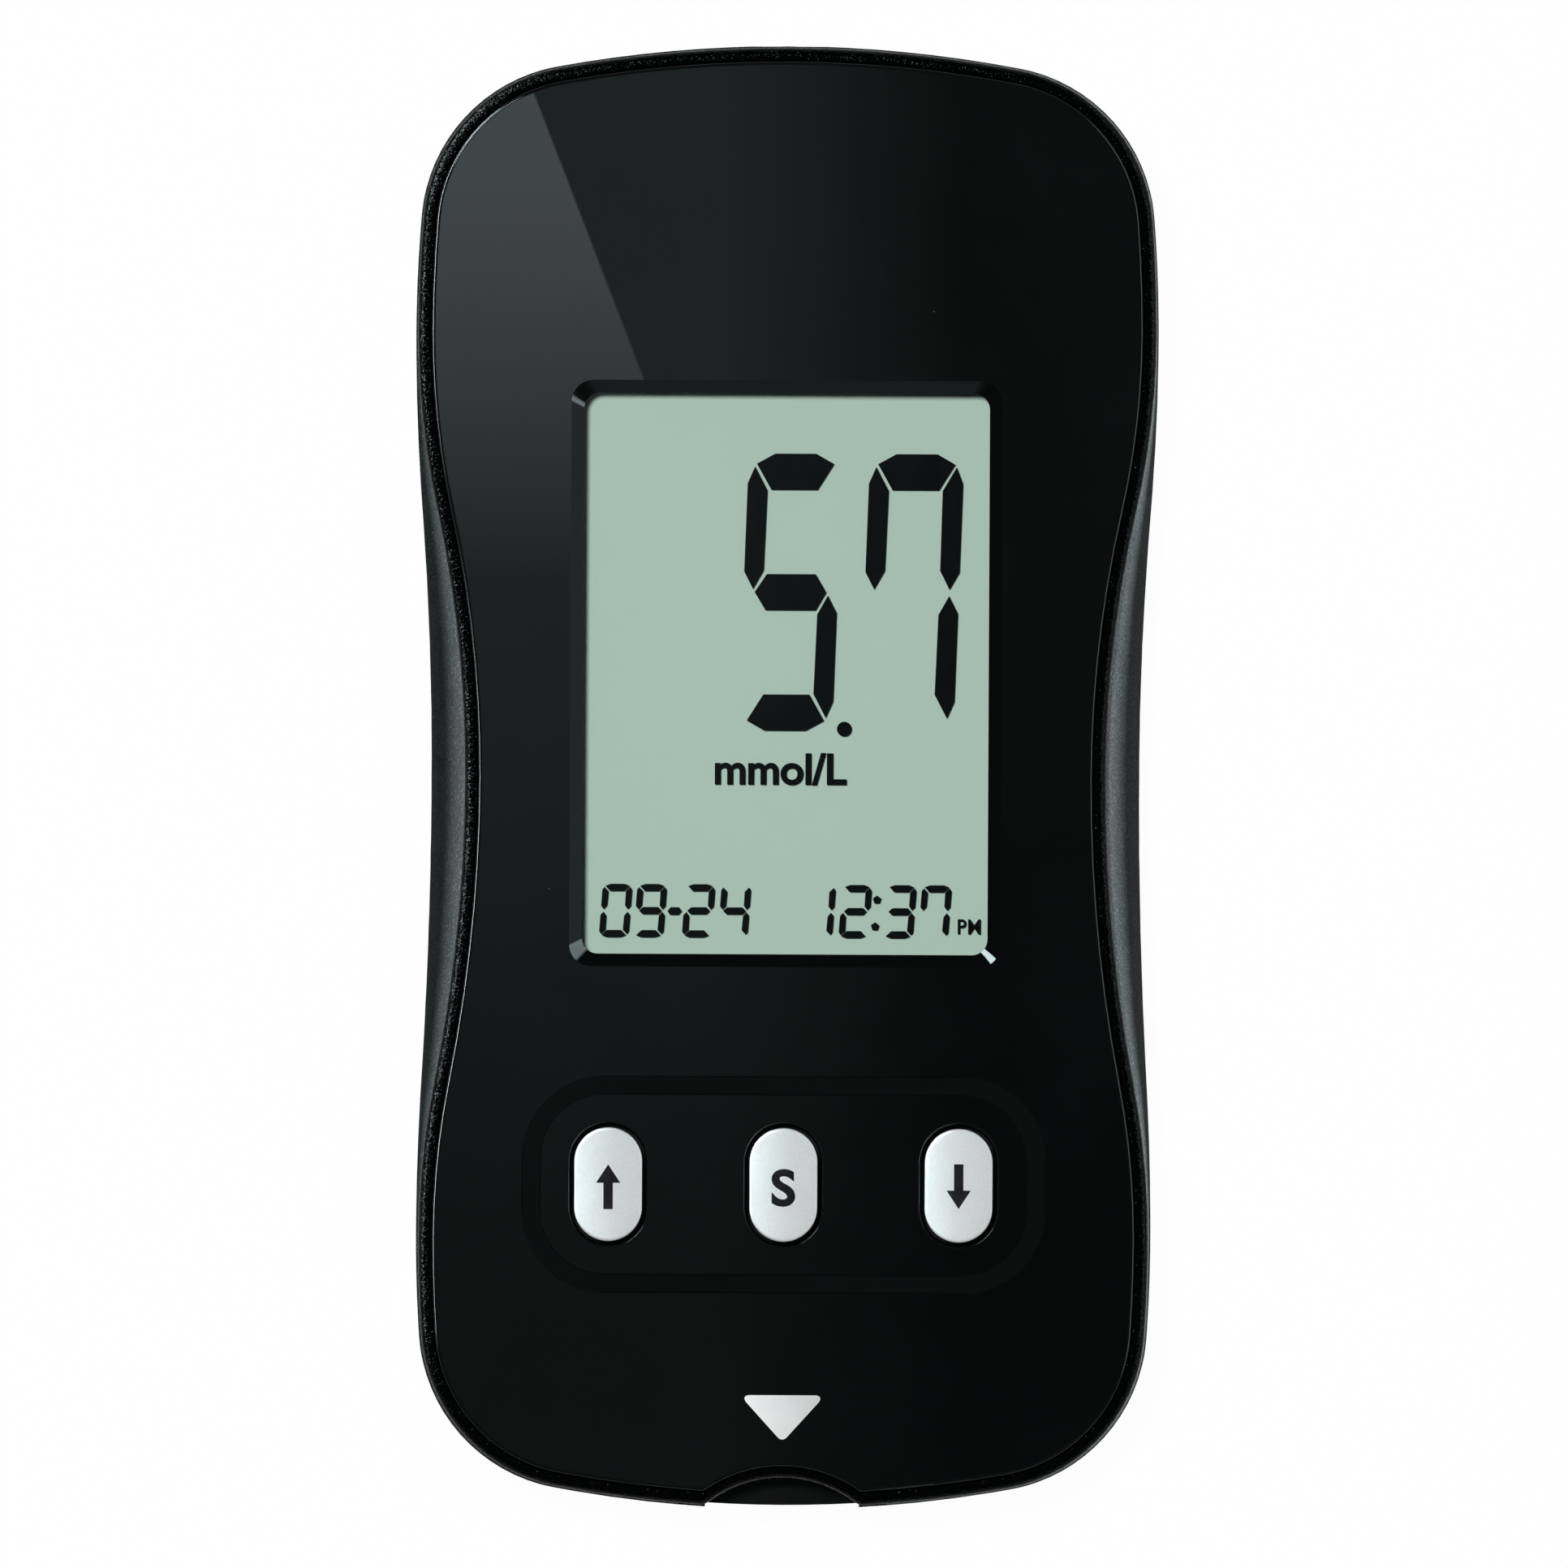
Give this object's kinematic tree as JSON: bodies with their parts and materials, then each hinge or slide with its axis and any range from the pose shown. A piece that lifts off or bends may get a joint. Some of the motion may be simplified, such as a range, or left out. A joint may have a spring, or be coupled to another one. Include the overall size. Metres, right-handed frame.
{
  "type": "blood glucose meter",
  "caption": "Pocket blood glucose meter with a waisted case, a display in a glossy panel, press keys, a strip port at one end and a data socket at the other.",
  "frame": {"origin": "on the resting back face, at the middle of the outline", "axes": "+Z out of the display, +Y towards the end with the data socket, -Y towards the strip port"},
  "size_m": [0.0472, 0.0928, 0.015],
  "materials": {
    "case_front": "fine spark-eroded texture, matt black",
    "case_back": "leather-like grain, dark grey",
    "panel": "polished gloss black",
    "window": "clear, polished",
    "gasket": "black foam",
    "film": "clear polarising film",
    "cell_glass": "clear",
    "reflector": "satin grey-green film",
    "holder": "white, as moulded",
    "zebra": "grey striped rubber",
    "board": "green solder mask",
    "chip": "matt black epoxy with tinned legs",
    "can": "drawn steel",
    "ceramic": "ceramic with tinned ends",
    "socket": "black, as moulded",
    "tinned": "tinned",
    "port": "black, as moulded",
    "connector": "ivory, as moulded",
    "gilt": "gold plated",
    "key": "satin silver lacquer",
    "silicone": "translucent silicone",
    "carbon": "conductive black",
    "coin": "bright steel",
    "nickel": "nickel plated",
    "screw": "black zinc plated"
  },
  "bodies": {
    "meter": {"front_housing": "case_front", "rear_housing": "case_back", "front_panel": "panel", "display_window": "window", "display_gasket": "gasket", "lcd_front_film": "film", "lcd_front_glass": "cell_glass", "lcd_rear_glass": "cell_glass", "lcd_reflector": "reflector", "lcd_holder": "holder", "zebra_strip_lower": "zebra", "zebra_strip_upper": "zebra", "main_board": "board", "main_chip": "chip", "memory_chip": "chip", "crystal_can": "can", "buzzer": "can", "board_capacitors": "ceramic", "data_socket": "socket", "socket_legs": "tinned", "strip_guide": "port", "strip_connector": "connector", "strip_contacts": "gilt", "key_mat": "silicone", "case_screws": "screw", "board_screws": "screw", "battery_lower": "coin", "negative_spring_lower": "nickel", "positive_clip_lower": "nickel", "battery_upper": "coin", "negative_spring_upper": "nickel", "positive_clip_upper": "nickel"},
    "key_up": {"key_up": "key", "plunger_up": "silicone", "carbon_pill_up": "carbon", "web_up": "silicone"},
    "key_select": {"key_select": "key", "plunger_select": "silicone", "carbon_pill_select": "carbon", "web_select": "silicone"},
    "key_down": {"key_down": "key", "plunger_down": "silicone", "carbon_pill_down": "carbon", "web_down": "silicone"},
    "battery_cover": {"battery_cover": "case_back"}
  },
  "joints": [
    {"name": "key_up_press", "type": "slide", "parent": "meter", "child": "key_up", "axis": [0, 0, -1], "range_m": [0, 0.0008], "stiffness_N_per_m": 1200, "deforming": ["web_up"]},
    {"name": "key_select_press", "type": "slide", "parent": "meter", "child": "key_select", "axis": [0, 0, -1], "range_m": [0, 0.0008], "stiffness_N_per_m": 1200, "deforming": ["web_select"]},
    {"name": "key_down_press", "type": "slide", "parent": "meter", "child": "key_down", "axis": [0, 0, -1], "range_m": [0, 0.0008], "stiffness_N_per_m": 1200, "deforming": ["web_down"]},
    {"name": "battery_cover_slide", "type": "slide", "parent": "meter", "child": "battery_cover", "axis": [0, 1, 0], "range_m": [0, 0.044]}
  ]
}
